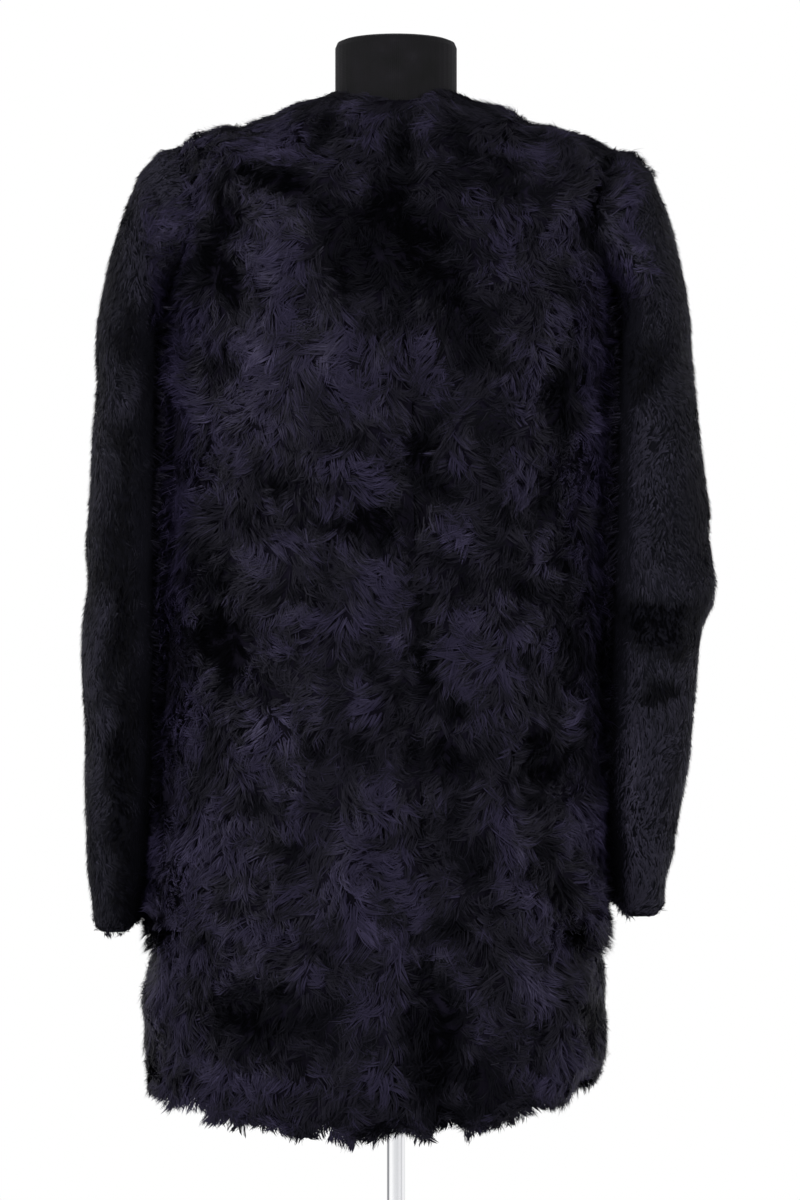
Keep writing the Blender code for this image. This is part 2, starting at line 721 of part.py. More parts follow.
def make_turned(name, profile, mat, steps=32):
    """A round piece turned about the pole's axis from (radius, height) points, bottom first."""
    mesh = bmesh.new()
    rings = []
    for radius, z in profile:
        ring = []
        for k in range(steps):
            angle = 2 * math.pi * k / steps
            ring.append(mesh.verts.new((radius * MM * math.cos(angle),
                                        radius * MM * math.sin(angle), z * MM)))
        rings.append(ring)
    for low, high in zip(rings[:-1], rings[1:]):
        for i in range(steps):
            j = (i + 1) % steps
            mesh.faces.new((low[i], low[j], high[j], high[i]))
    mesh.faces.new(rings[0])
    mesh.faces.new(rings[-1])
    return finish_piece(mesh, name, mat)


def make_stand(chrome, steel):
    bevel = 1.5
    make_turned("base_plate", (
        (BASE_RADIUS - bevel, 0.0),
        (BASE_RADIUS, bevel),
        (BASE_RADIUS, BASE_HEIGHT - bevel),
        (BASE_RADIUS - bevel, BASE_HEIGHT),
    ), steel, steps=48)
    foot = BASE_HEIGHT + SEAM_GAP
    make_turned("base_socket", (
        (SOCKET_RADIUS + 5.0, foot),
        (SOCKET_RADIUS + 5.0, foot + 3.0),
        (SOCKET_RADIUS, foot + 8.0),
        (SOCKET_RADIUS, foot + SOCKET_HEIGHT - 2.0),
        (SOCKET_RADIUS - 2.0, foot + SOCKET_HEIGHT),
    ), steel)
    pole_foot = foot + SOCKET_HEIGHT + SEAM_GAP
    pole_top = FORM_LEVELS[0].left_z - SEAM_GAP
    make_turned("form_pole", (
        (POLE_RADIUS, pole_foot),
        (POLE_RADIUS, pole_top),
    ), chrome, steps=24)


def main():
    clear_scene()
    fur = material("long_fur", (0.010, 0.009, 0.014), 0.75)
    band_fur = material("band_fur", (0.009, 0.009, 0.012), 0.75)
    short_fur = material("short_fur", (0.007, 0.007, 0.010), 0.8)
    jersey = material("black_jersey", (0.014, 0.014, 0.017), 0.85)
    chrome = material("polished_chrome", (0.75, 0.75, 0.76), 0.12, 1.0)
    steel = material("brushed_steel", (0.55, 0.55, 0.56), 0.35, 1.0)
    make_body(fur, band_fur)
    make_collar(fur)
    make_sleeve("sleeve_left", -1, LEFT_SLEEVE, LEFT_CREASES, short_fur)
    make_sleeve("sleeve_right", 1, RIGHT_SLEEVE, RIGHT_CREASES, short_fur)
    make_form(jersey)
    make_stand(chrome, steel)


main()
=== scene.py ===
"""Looks for a navy-black fur coat on a limbless dress form, seen from the back.

Each coat solid is replaced by its pelt, a thin wall of leather and underfur sunk
under the solid's outer face, and by the hair that grows from it. The hair's guides
walk over the solids' outer faces, and every guide carries a lock of tapered hairs.
Sizes are in metres unless a name ends in _mm.
"""

import math
from dataclasses import dataclass

import bmesh
import bpy
import numpy as np
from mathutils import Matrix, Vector
from mathutils.bvhtree import BVHTree


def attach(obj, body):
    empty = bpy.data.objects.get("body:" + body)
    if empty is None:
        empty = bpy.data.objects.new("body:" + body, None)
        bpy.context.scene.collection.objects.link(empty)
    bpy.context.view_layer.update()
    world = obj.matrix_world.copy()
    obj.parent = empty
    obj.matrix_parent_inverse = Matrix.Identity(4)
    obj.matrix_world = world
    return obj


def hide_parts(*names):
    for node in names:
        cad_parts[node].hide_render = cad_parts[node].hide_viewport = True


MM = 0.001
UP = np.array((0.0, 0.0, 1.0))
BODY = "root"

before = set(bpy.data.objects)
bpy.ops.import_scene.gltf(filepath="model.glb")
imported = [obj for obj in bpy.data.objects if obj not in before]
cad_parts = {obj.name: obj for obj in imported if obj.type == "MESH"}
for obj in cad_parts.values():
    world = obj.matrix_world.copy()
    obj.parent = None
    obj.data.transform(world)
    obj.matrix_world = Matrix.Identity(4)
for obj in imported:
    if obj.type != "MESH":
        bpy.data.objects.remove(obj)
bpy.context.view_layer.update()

# ---------------------------------------------------------------- camera and studio

CAMERA_AT = (0.0035, -3.1, 1.03)  # level with the coat's middle, straight behind it
LENS_MM = 70.45  # 1.056 m of height at the pole's axis on a 24 mm tall sensor
SENSOR_MM = 24.0

camera_data = bpy.data.cameras.new("studio_camera")
camera_data.sensor_fit = "VERTICAL"
camera_data.sensor_height = SENSOR_MM
camera_data.lens = LENS_MM
camera = bpy.data.objects.new("studio_camera", camera_data)
camera.location = CAMERA_AT
camera.rotation_euler = (math.pi / 2, 0.0, 0.0)
bpy.context.scene.collection.objects.link(camera)
bpy.context.scene.camera = camera
bpy.context.scene.view_settings.view_transform = "Standard"  # a white studio stays white


# ---------------------------------------------------------------- small helpers


def linear(code):
    """A colour from its sRGB hex code."""
    parts = [int(code[i:i + 2], 16) / 255 for i in (1, 3, 5)]
    return tuple(c / 12.92 if c <= 0.04045 else ((c + 0.055) / 1.055) ** 2.4 for c in parts) + (1.0,)


def unit(vectors):
    length = np.linalg.norm(vectors, axis=-1, keepdims=True)
    return vectors / np.maximum(length, 1e-9)


def bell(distance):
    return np.exp(-np.square(distance))


def ease(low, high, value):
    t = np.clip((value - low) / (high - low), 0.0, 1.0)
    return t * t * (3.0 - 2.0 * t)


def swell(points, size, seed, waves=10):
    """A smooth wandering value of about -1 to 1, whose bumps are about size across."""
    rng = np.random.default_rng(seed)
    ways = unit(rng.normal(size=(waves, 3))) * 2 * math.pi / size
    ways *= rng.uniform(0.35, 0.75, (waves, 1))
    starts = rng.uniform(0, 2 * math.pi, waves)
    return np.sin(points @ ways.T + starts).sum(axis=1) / math.sqrt(waves)


def swells(points, rows):
    """Several swells added up, each given by its strength, size and seed."""
    return sum(strength * swell(points, size, seed) for strength, size, seed in rows)


def link_object(name, data):
    made = bpy.data.objects.new(name, data)
    bpy.context.scene.collection.objects.link(made)
    return made


# ---------------------------------------------------------------- materials


def add(tree, kind, values=None, links=None, **settings):
    """Adds a node with its settings, its input values, and its links from (node, output)."""
    made = tree.nodes.new("ShaderNode" + kind)
    for key, value in settings.items():
        setattr(made, key, value)
    for key, value in (values or {}).items():
        made.inputs[key].default_value = value
    for key, (source, output) in (links or {}).items():
        tree.links.new(source.outputs[output], made.inputs[key])
    return made


def new_material(name):
    made = bpy.data.materials.new(name)
    made.use_nodes = True
    made.node_tree.nodes.clear()
    return made, made.node_tree


def close_material(tree, shader):
    add(tree, "OutputMaterial", links={"Surface": (shader, "BSDF")})


def ramp(tree, factor, stops):
    made = add(tree, "ValToRGB", links={"Fac": factor})
    elements = made.color_ramp.elements
    while len(elements) < len(stops):
        elements.new(0.5)
    for element, (place, code) in zip(elements, stops):
        element.position = place
        element.color = linear(code)
    return made


DYE_GLINT = "#dcd9ee"  # light that passes through dyed hair comes back violet


def hair_material(name, code, roughness, gloss):
    """Dyed lamb's hair: keratin with a dark aniline dye. Each hair is one even tone, so the
    eye reads locks from many tones side by side, and its scales break the shine up."""
    made, tree = new_material(name)
    where = add(tree, "TexCoord")
    scales = add(tree, "TexNoise", {"Scale": 900.0, "Detail": 2.0}, {"Vector": (where, "Object")})
    rough = add(
        tree,
        "MapRange",
        {"To Min": roughness - 0.1, "To Max": roughness + 0.12},
        {"Value": (scales, "Fac")},
    )
    shader = add(
        tree,
        "BsdfPrincipled",
        {
            "Base Color": linear(code),
            "IOR": 1.55,
            "Specular IOR Level": gloss,
            "Specular Tint": linear(DYE_GLINT),
        },
        {"Roughness": (rough, "Result")},
    )
    close_material(tree, shader)
    return made


def pelt_material(name, dark, light, hair_mm):
    """Lambskin leather under dense underfur: matt, and nearly black between the hairs."""
    made, tree = new_material(name)
    where = add(tree, "TexCoord")
    grain = add(
        tree,
        "Mapping",
        {"Scale": (1.0, 1.0, 0.22)},
        {"Vector": (where, "Object")},
    )
    hairs = add(
        tree,
        "TexNoise",
        {"Scale": 1000.0 / hair_mm, "Detail": 4.0, "Roughness": 0.65},
        {"Vector": (grain, "Vector")},
    )
    patches = add(tree, "TexNoise", {"Scale": 22.0, "Detail": 2.0}, {"Vector": (where, "Object")})
    mixed = add(
        tree,
        "Math",
        {1: 0.5},
        {0: (hairs, "Fac"), 2: (patches, "Fac")},
        operation="MULTIPLY_ADD",
    )
    colour = ramp(tree, (mixed, "Value"), ((0.55, dark), (0.95, light)))
    bump = add(tree, "Bump", {"Strength": 0.8, "Distance": 0.0012}, {"Height": (hairs, "Fac")})
    shader = add(
        tree,
        "BsdfPrincipled",
        {"Roughness": 0.85, "Specular IOR Level": 0.04, "Specular Tint": linear(DYE_GLINT)},
        {"Base Color": (colour, "Color"), "Normal": (bump, "Normal")},
    )
    close_material(tree, shader)
    return made


WALES = 187.0  # upright ribs round the form, about 1.8 mm apart at its neck
COURSES = 4500.0  # radians of their wave in a metre of height: one each 1.4 mm


def jersey_material():
    """Viscose jersey, weft-knitted and stretched on: fine upright wales, a soft low sheen.
    Real wales are about 0.8 mm apart, and are drawn wider so that they show."""
    made, tree = new_material("black_jersey")
    where = add(tree, "TexCoord")
    parts = add(tree, "SeparateXYZ", links={"Vector": (where, "Object")})
    around = add(tree, "Math", None, {0: (parts, "Y"), 1: (parts, "X")}, operation="ARCTAN2")
    wales = add(tree, "Math", {1: WALES}, {0: (around, "Value")}, operation="MULTIPLY")
    ribs = add(tree, "Math", None, {0: (wales, "Value")}, operation="SINE")
    courses = add(tree, "Math", {1: COURSES}, {0: (parts, "Z")}, operation="MULTIPLY")
    rows = add(tree, "Math", None, {0: (courses, "Value")}, operation="SINE")
    loops = add(
        tree,
        "Math",
        {1: 0.35},
        {0: (rows, "Value"), 2: (ribs, "Value")},
        operation="MULTIPLY_ADD",
    )
    lint = add(tree, "TexNoise", {"Scale": 55.0, "Detail": 5.0}, {"Vector": (where, "Object")})
    colour = ramp(tree, (lint, "Fac"), ((0.3, "#030304"), (0.6, "#070609"), (0.8, "#0e0d11")))
    bump = add(tree, "Bump", {"Strength": 0.35, "Distance": 0.0003}, {"Height": (loops, "Value")})
    shader = add(
        tree,
        "BsdfPrincipled",
        {
            "Roughness": 0.72,
            "Specular IOR Level": 0.09,
            "Sheen Weight": 0.05,
            "Sheen Roughness": 0.4,
            "Sheen Tint": linear("#8f8c9c"),
        },
        {"Base Color": (colour, "Color"), "Normal": (bump, "Normal")},
    )
    close_material(tree, shader)
    return made


def metal_material(name, light, dark, rough, grain_scale, stretch):
    """Brushed steel: fine lines from the abrasive belt spread its highlights."""
    made, tree = new_material(name)
    where = add(tree, "TexCoord")
    lines = add(tree, "Mapping", {"Scale": stretch}, {"Vector": (where, "Object")})
    grain = add(
        tree,
        "TexNoise",
        {"Scale": grain_scale, "Detail": 6.0, "Roughness": 0.7},
        {"Vector": (lines, "Vector")},
    )
    colour = ramp(tree, (grain, "Fac"), ((0.35, dark), (0.7, light)))
    roughness = add(
        tree,
        "MapRange",
        {"To Min": rough * 0.7, "To Max": rough * 1.4},
        {"Value": (grain, "Fac")},
    )
    bump = add(tree, "Bump", {"Strength": 0.12, "Distance": 0.0001}, {"Height": (grain, "Fac")})
    shader = add(
        tree,
        "BsdfPrincipled",
        {"Metallic": 1.0},
        {
            "Base Color": (colour, "Color"),
            "Roughness": (roughness, "Result"),
            "Normal": (bump, "Normal"),
        },
    )
    close_material(tree, shader)
    return made


# A painted reflection round the pole: the bright bands and darker lines that its polished face
# mirrors, laid along it from its +X side (0) round to its -X side (1)
PAINTED_POLE_REFLECTION = (
    (0.0, "#d2d3d6"), (0.2, "#f0f0f2"), (0.27, "#e2e2e5"), (0.3, "#bcbdc0"), (0.34, "#e2e2e5"),
    (0.45, "#d3d4d7"), (0.55, "#dcdde0"), (0.68, "#fcfcfd"), (0.75, "#f4f4f6"),
    (0.79, "#8a8b8f"), (0.9, "#828387"), (1.0, "#adaeb2"),
)


def chrome_material():
    """Chromed and polished drawn tube, with a painted reflection: bright bands and thin darker
    lines along its length, set by the angle round its axis, and faintly dulled where hands rub it."""
    made, tree = new_material("polished_chrome")
    where = add(tree, "TexCoord")
    parts = add(tree, "SeparateXYZ", links={"Vector": (where, "Object")})
    around = add(tree, "Math", None, {0: (parts, "Y"), 1: (parts, "X")}, operation="ARCTAN2")
    share = add(tree, "Math", {1: 1 / math.pi}, {0: (around, "Value")}, operation="MULTIPLY")
    side = add(tree, "Math", None, {0: (share, "Value")}, operation="ABSOLUTE")
    # painted reflection: bright bands and dark lines by the angle round the pole
    colour = ramp(tree, (side, "Value"), PAINTED_POLE_REFLECTION)
    lines = add(tree, "Mapping", {"Scale": (1, 1, 0.04)}, {"Vector": (where, "Object")})
    rubs = add(
        tree, "TexNoise", {"Scale": 300.0, "Detail": 6.0}, {"Vector": (lines, "Vector")}
    )
    roughness = add(tree, "MapRange", {"To Min": 0.06, "To Max": 0.2}, {"Value": (rubs, "Fac")})
    shader = add(
        tree,
        "BsdfPrincipled",
        {"Metallic": 1.0},
        {"Base Color": (colour, "Color"), "Roughness": (roughness, "Result")},
    )
    close_material(tree, shader)
    return made


def floor_material():
    """A pale painted studio floor, matt with the faintest mottle."""
    made, tree = new_material("pale_floor_paint")
    where = add(tree, "TexCoord")
    mottle = add(tree, "TexNoise", {"Scale": 3.0, "Detail": 3.0}, {"Vector": (where, "Object")})
    colour = ramp(tree, (mottle, "Fac"), ((0.3, "#e9e9ea"), (0.7, "#f2f2f2")))
    shader = add(
        tree, "BsdfPrincipled", {"Roughness": 0.7}, {"Base Color": (colour, "Color")}
    )
    close_material(tree, shader)
    return made


# Tones of the dyed hair, from its shaded roots to the grey tips, the darker ones with less shine.
# Each hair takes one tone from the lightness worked out below, so these tones carry painted
# light and shade as well as the hair's own uneven tone.
LONG_TONES = (
    hair_material("long_hair_root_shade", "#010102", 0.65, 0.01),
    hair_material("long_hair_ink", "#050508", 0.56, 0.03),
    hair_material("long_hair_midnight", "#0d0c13", 0.52, 0.07),
    hair_material("long_hair_violet", "#191626", 0.5, 0.1),
    hair_material("long_hair_slate_tip", "#252135", 0.48, 0.14),
)
SHORT_TONES = (
    hair_material("sheared_hair_root_shade", "#020203", 0.75, 0.01),
    hair_material("sheared_hair_ink", "#070709", 0.7, 0.03),
    hair_material("sheared_hair_midnight", "#101015", 0.66, 0.06),
    hair_material("sheared_hair_violet", "#1b1a23", 0.64, 0.09),
    hair_material("sheared_hair_slate_tip", "#292733", 0.62, 0.12),
)
UNDERFUR = pelt_material("lambskin_underfur", "#050408", "#0d0b14", 2.4)
SHEARED_UNDERFUR = pelt_material("sheared_lambskin", "#050508", "#0c0c11", 1.4)

# ---------------------------------------------------------------- the solids' outer faces

COAT_NODES = (
    "back_left", "back_right", "back_hem_left", "back_hem_right",
    "front_left", "front_right", "front_hem_left", "front_hem_right",
    "collar", "sleeve_left", "sleeve_right",
)
SPINE_TOP = 1.30  # over this height the body's outside is up as well as out
# The sleeves' middle lines, (x, y, z) in millimetres from the cuff up
SLEEVE_LINES_MM = {
    "sleeve_left": ((-245, 28, 740), (-245, 15, 850), (-243, 0, 1000), (-239, -7, 1100),
                    (-235, -4, 1250), (-222, -2, 1330), (-203, -2, 1362)),
    "sleeve_right": ((212, 28, 754), (220, 18, 850), (228, -2, 1000), (231, -8, 1080),
                     (225, -4, 1230), (216, -2, 1310), (199, -2, 1362)),
}
OUTER_LEAST_DOT = 0.3  # an outer face looks this much away from the coat's middle
RIM_HEIGHT = 0.05  # the hem's and cuffs' rims lie within this of a piece's lowest point
RIM_DOWN = -0.6  # a rim's faces look down at least this much


def outward(node_name, points):
    """The rough way out of the coat at each point, to tell outer faces from inner ones."""
    if node_name in SLEEVE_LINES_MM:
        line = np.array(SLEEVE_LINES_MM[node_name], float) * MM
        middle = np.stack(
            [np.interp(points[:, 2], line[:, 2], line[:, i]) for i in range(3)], axis=1
        )
    else:
        middle = np.zeros_like(points)
        middle[:, 2] = np.minimum(points[:, 2], SPINE_TOP)
    return unit(points - middle)


def wall_mesh(node_name):
    """A node's vertices, normals and triangles, with doubled vertices merged."""
    mesh = bmesh.new()
    mesh.from_mesh(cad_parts[node_name].data)
    bmesh.ops.remove_doubles(mesh, verts=mesh.verts, dist=1e-6)
    bmesh.ops.triangulate(mesh, faces=mesh.faces)
    bmesh.ops.recalc_face_normals(mesh, faces=mesh.faces)
    mesh.verts.index_update()
    points = np.array([v.co for v in mesh.verts])
    mesh.normal_update()
    normals = np.array([v.normal for v in mesh.verts])
    triangles = np.array([[v.index for v in f.verts] for f in mesh.faces])
    mesh.free()
    return points, normals, triangles


# The back hem is cut a little unevenly: how far its edge lies above the solid's, at
# each distance from the middle, both in millimetres
HEM_TRIM_MM = (
    (-212, 11), (-160, 10), (-117, 2), (-65, 4), (-44, 8), (-14, 2), (25, 13), (55, 10),
    (81, 5), (107, 9), (132, 13), (163, 8),
)
CUFF_TRIM = 0.006
CUFF_CORNER = 0.012  # how much further the cuff's corners are drawn up
CUFF_HEIGHT = 0.03  # the cuff's width is taken from the points below this


def trimmed(name, points):
    """A wall's points, with the hem's or cuff's edge drawn up to where its fur hangs from."""
    if name.startswith("sleeve"):
        rim = points[points[:, 2] < points[:, 2].min() + CUFF_HEIGHT, 0]
        aside = np.abs(points[:, 0] - (rim.max() + rim.min()) / 2) / np.ptp(rim) * 2
        up = CUFF_TRIM + CUFF_CORNER * ease(0.55, 1.05, aside)
    elif name.startswith("back_hem"):
        table = np.array(HEM_TRIM_MM, float) * MM
        up = np.interp(points[:, 0], table[:, 0], table[:, 1]) * ease(-0.01, -0.05, points[:, 1])
    else:
        return points
    low = points[:, 2].min()  # only the lowest centimetres are drawn up
    raised = points.copy()
    raised[:, 2] += up * ease(low + 0.06, low + 0.02, points[:, 2])
    return raised


WALLS = {}
for coat_node in COAT_NODES:
    wall = wall_mesh(coat_node)
    WALLS[coat_node] = (trimmed(coat_node, wall[0]),) + wall[1:]


def outer_triangles(name, with_rim=False):
    """A wall's triangles that face out, and if asked those under the hem's or cuff's edge."""
    points, _, triangles = WALLS[name]
    corners = points[triangles]
    cross = np.cross(corners[:, 1] - corners[:, 0], corners[:, 2] - corners[:, 0])
    ways = unit(cross)
    outer = np.sum(ways * outward(name, corners.mean(axis=1)), axis=1) > OUTER_LEAST_DOT
    if with_rim and ("hem" in name or "sleeve" in name):
        low = corners[:, :, 2].max(axis=1) < points[:, 2].min() + RIM_HEIGHT
        outer |= low & (ways[:, 2] < RIM_DOWN)
    return triangles[outer]


def outer_skin():
    """One search tree over the outer faces of all the coat's pieces."""
    points, triangles, start = [], [], 0
    for name in COAT_NODES:
        own = WALLS[name][0]
        points.append(own)
        triangles.append(outer_triangles(name) + start)
        start += len(own)
    return BVHTree.FromPolygons(
        np.concatenate(points).tolist(), np.concatenate(triangles).tolist()
    )


SKIN = outer_skin()


FLANK_FACING = (0.7, 0.92)  # how squarely a wall looks across the gap, from not to wholly
SLEEVE_SPAN = (0.735, 1.29)  # the heights between which a sleeve hangs beside the body


def inward(name):
    """-1 for a sleeve, whose side towards the body looks the other way, and 1 for the body."""
    return -1.0 if name.startswith("sleeve") else 1.0


def beside_sleeve(name, points, normals):
    """1 where a wall faces its sleeve across the gap, or the sleeve faces the body."""
    faces = ease(*FLANK_FACING, inward(name) * normals[:, 0] * np.sign(points[:, 0]))
    low, high = SLEEVE_SPAN
    return faces * ease(low - 0.01, low, points[:, 2]) * ease(high + 0.03, high, points[:, 2])


def widening(points):
    """Where the gap between body and sleeve is wider: at the cuff, and at the armhole."""
    return ease(0.85, 0.78, points[:, 2]), ease(1.19, 1.25, points[:, 2])


def swollen(points):
    """How far the underfur fills the gap between the body and a sleeve, from each side."""
    at_cuff, at_armhole = widening(points)
    return 0.0006 + 0.0016 * at_cuff + 0.0006 * at_armhole


SEAM_FACING = 0.3  # a seam's normals point this much along X
MIDDLE_SEAM = 0.05  # the middle seams of the back and fronts lie within this of x = 0
SEAM_CLOSES = 0.0001  # how far each side of a middle seam moves over to the other


def make_pelt(name, sink_mm, finish):
    """The leather and underfur of a piece: its wall, with the outer face sunk."""
    points, normals, triangles = WALLS[name]
    outer = np.sum(normals * outward(name, points), axis=1) > 0
    beside = beside_sleeve(name, points, normals)
    deep = outer * (sink_mm * MM * (1 - beside) - swollen(points) * beside)
    ways = normals.copy()
    if "hem" in name or "sleeve" in name:  # the hem and cuffs keep their length
        rim = ease(RIM_HEIGHT, 0.5 * RIM_HEIGHT, points[:, 2] - points[:, 2].min())
        ways[:, 2] *= 1 - rim
    seam = np.zeros(len(points), bool)
    if name.startswith(("back", "front")):  # the middle seams sink straight in, and close
        seam = (np.abs(normals[:, 0]) > SEAM_FACING) & (np.abs(points[:, 0]) < MIDDLE_SEAM)
        ways[seam] = np.sign(points[seam, 1])[:, None] * np.array((0.0, 1.0, 0.0))
    moved = points - unit(ways) * deep[:, None]
    moved[seam, 0] += SEAM_CLOSES * np.sign(normals[seam, 0])
    data = bpy.data.meshes.new("pelt_" + name)
    data.from_pydata(moved.tolist(), [], triangles.tolist())
    data.shade_smooth()
    data.materials.append(finish)
    piece = link_object("pelt_" + name, data)
    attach(piece, BODY)
    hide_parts(name)
    return piece


# ---------------------------------------------------------------- hair


@dataclass
class Pile:
    """How a kind of hair grows: sizes in millimetres, angles in radians."""

    spacing: float  # from guide to guide
    per_guide: int  # hairs in a lock
    length: float
    width: float
    sink: float  # how deep under the outer face a hair starts
    lift: float  # how high over it the hair ends
    tuft: float  # how far the tufts rise and fall
    flick: float  # how unevenly tips stand up
    steps: int  # straight parts in a hair
    bend: float
    stray: float  # how far a lock's way strays from its neighbours'
    close: float  # how much of a lock's width is drawn together at its tip
    mix: float  # how mixed its tones are
    under: int = 0  # how many hairs of a lock are underfur


LONG = Pile(
    spacing=5.7, per_guide=13, length=17, width=0.52, sink=3.5, lift=1.2, tuft=3.4, flick=1.35,
    steps=2, bend=1.3, stray=0.36, close=0.3, mix=0.14, under=4,
)
FRONT_LONG = Pile(
    spacing=8.0, per_guide=12, length=21, width=0.85, sink=3.5, lift=1.2, tuft=3.8, flick=1.2,
    steps=2, bend=1.3, stray=0.36, close=0.3, mix=0.14, under=4,
)
COLLAR_HAIR = Pile(
    spacing=5.0, per_guide=13, length=20, width=0.52, sink=3.5, lift=1.0, tuft=2.8, flick=1.6,
    steps=2, bend=1.0, stray=0.34, close=0.3, mix=0.14, under=4,
)
SHORT = Pile(
    spacing=5.0, per_guide=10, length=8, width=0.75, sink=2.0, lift=0.3, tuft=0.9, flick=0.5,
    steps=1, bend=0.5, stray=0.3, close=0.2, mix=0.14, under=3,
)
BETWEEN = Pile(  # closes the gap where body and sleeve face each other
    spacing=2.3, per_guide=2, length=8, width=1.0, sink=0.5, lift=0.0, tuft=0.0, flick=0.8,
    steps=2, bend=0.8, stray=0.6, close=0.2, mix=0.2,
)
GROOVE = Pile(  # stands out into the groove between body and sleeve
    spacing=4.4, per_guide=6, length=15, width=0.9, sink=0.5, lift=7.5, tuft=1.0, flick=1.8,
    steps=2, bend=0.8, stray=0.6, close=0.2, mix=0.2,
)

SPOTS_TRIED = 3.2  # for each square of the spacing
NEAREST = 0.8  # no two guides are nearer than this share of the spacing


def scatter(name, spacing, rng, only):
    """Guide roots over a piece's outer face, none nearer to another than about spacing,
    and only where only(name, spots, normals) says."""
    points, _, _ = WALLS[name]
    triangles = outer_triangles(name, with_rim=True)
    corners = points[triangles]
    cross = np.cross(corners[:, 1] - corners[:, 0], corners[:, 2] - corners[:, 0])
    areas = np.linalg.norm(cross, axis=1) / 2
    count = int(areas.sum() / spacing**2 * SPOTS_TRIED)
    chosen = rng.choice(len(areas), count, p=areas / areas.sum())
    a, b = rng.random((2, count))
    over = a + b > 1
    a[over], b[over] = 1 - a[over], 1 - b[over]
    tri = corners[chosen]
    spots = tri[:, 0] + a[:, None] * (tri[:, 1] - tri[:, 0]) + b[:, None] * (tri[:, 2] - tri[:, 0])
    ways = unit(cross)[chosen]
    if only is not None:
        picked = only(name, spots, ways)
        spots, ways = spots[picked], ways[picked]
    cells, kept = {}, []
    for i, cell in enumerate(np.floor(spots / spacing).astype(int)):
        x, y, z = cell
        near = (
            j
            for dx in (-1, 0, 1)
            for dy in (-1, 0, 1)
            for dz in (-1, 0, 1)
            for j in cells.get((x + dx, y + dy, z + dz), ())
        )
        if all(np.sum((spots[j] - spots[i]) ** 2) > (NEAREST * spacing) ** 2 for j in near):
            cells.setdefault((x, y, z), []).append(i)
            kept.append(i)
    return spots[kept], ways[kept]


def turn(ways, normals, angles):
    """The ways, turned about the normals that they are square to."""
    return ways * np.cos(angles)[:, None] + np.cross(normals, ways) * np.sin(angles)[:, None]


OFF_SKIN = 0.0012  # a step that ends further than this from the skin may have left an edge
PAST_RIM = 0.6  # and it has, where less than this share of the way back is along the normal
DROOP = 0.5  # how much a hair turns down with each step past an edge


def walk(spots, normals, ways, lengths, bends, steps, past_edge):
    """Paths over the coat's outer faces. Past an edge a path hangs on for a short way."""
    path, out = [spots], [normals]
    at, up, way = spots.copy(), normals.copy(), ways.copy()
    left = np.zeros(len(spots), bool)
    for _ in range(steps):
        stride = lengths / steps * np.where(left, past_edge, 1.0)
        way = turn(way, up, bends / steps)
        way[left] = unit(way[left] - DROOP * UP)
        ahead = at + way * stride[:, None]
        for i, point in enumerate(ahead):
            place, normal, _, gap = SKIN.find_nearest(Vector(point))
            straight = abs(float(np.dot(point - np.array(place), normal)))
            if gap > OFF_SKIN and straight < PAST_RIM * gap:
                left[i] = True
            elif not left[i]:
                ahead[i] = place
                up[i] = normal
        at = ahead
        way = unit(way - up * np.sum(way * up, axis=1)[:, None])
        path.append(at)
        out.append(up.copy())
    return np.stack(path, axis=1), np.stack(out, axis=1), left


TUFTS = ((0.75, 0.038, 25), (0.3, 0.018, 26))  # strength, size and seed


def relief(points):
    """How far the tufts rise at each point, about -1 to 1."""
    return swells(points, TUFTS)


def slope(points, way, height):
    """How steeply the tufts rise along a direction."""
    step = 0.002
    flat, ahead = points.reshape(-1, 3), (way * step).reshape(-1, 3)
    rise = relief(flat + ahead) - relief(flat - ahead)
    return (rise * height / (2 * step)).reshape(points.shape[:-1])


HEM_ROUNDING = (0.014, 0.006)  # the height over which a hem's fur draws in, and how far
CUFF_ROUNDING = (0.012, 0.005)


def rounding(name, points):
    """How far the fur draws in round a hem's or cuff's edge."""
    if "hem" not in name and not name.startswith("sleeve"):
        return np.zeros(len(points))
    over, deep = HEM_ROUNDING if "hem" in name else CUFF_ROUNDING
    near = np.clip(1 - (points[:, 2] - WALLS[name][0][:, 2].min()) / over, 0, 1)
    return deep * (1 - np.sqrt(1 - near * near))


LOCK_REACH = 0.75  # a lock's radius, as a share of the guides' spacing
UNEVEN = 0.0006  # how much a lock's hairs differ in height
UNDER_WIDER = 2.8  # the soft underfur below the guard hairs is drawn as wider wisps
UNDER_DEEP = 0.0018  # and lies this far below them
SHORTEST = 0.72  # the share of its lock's length that the shortest hair has


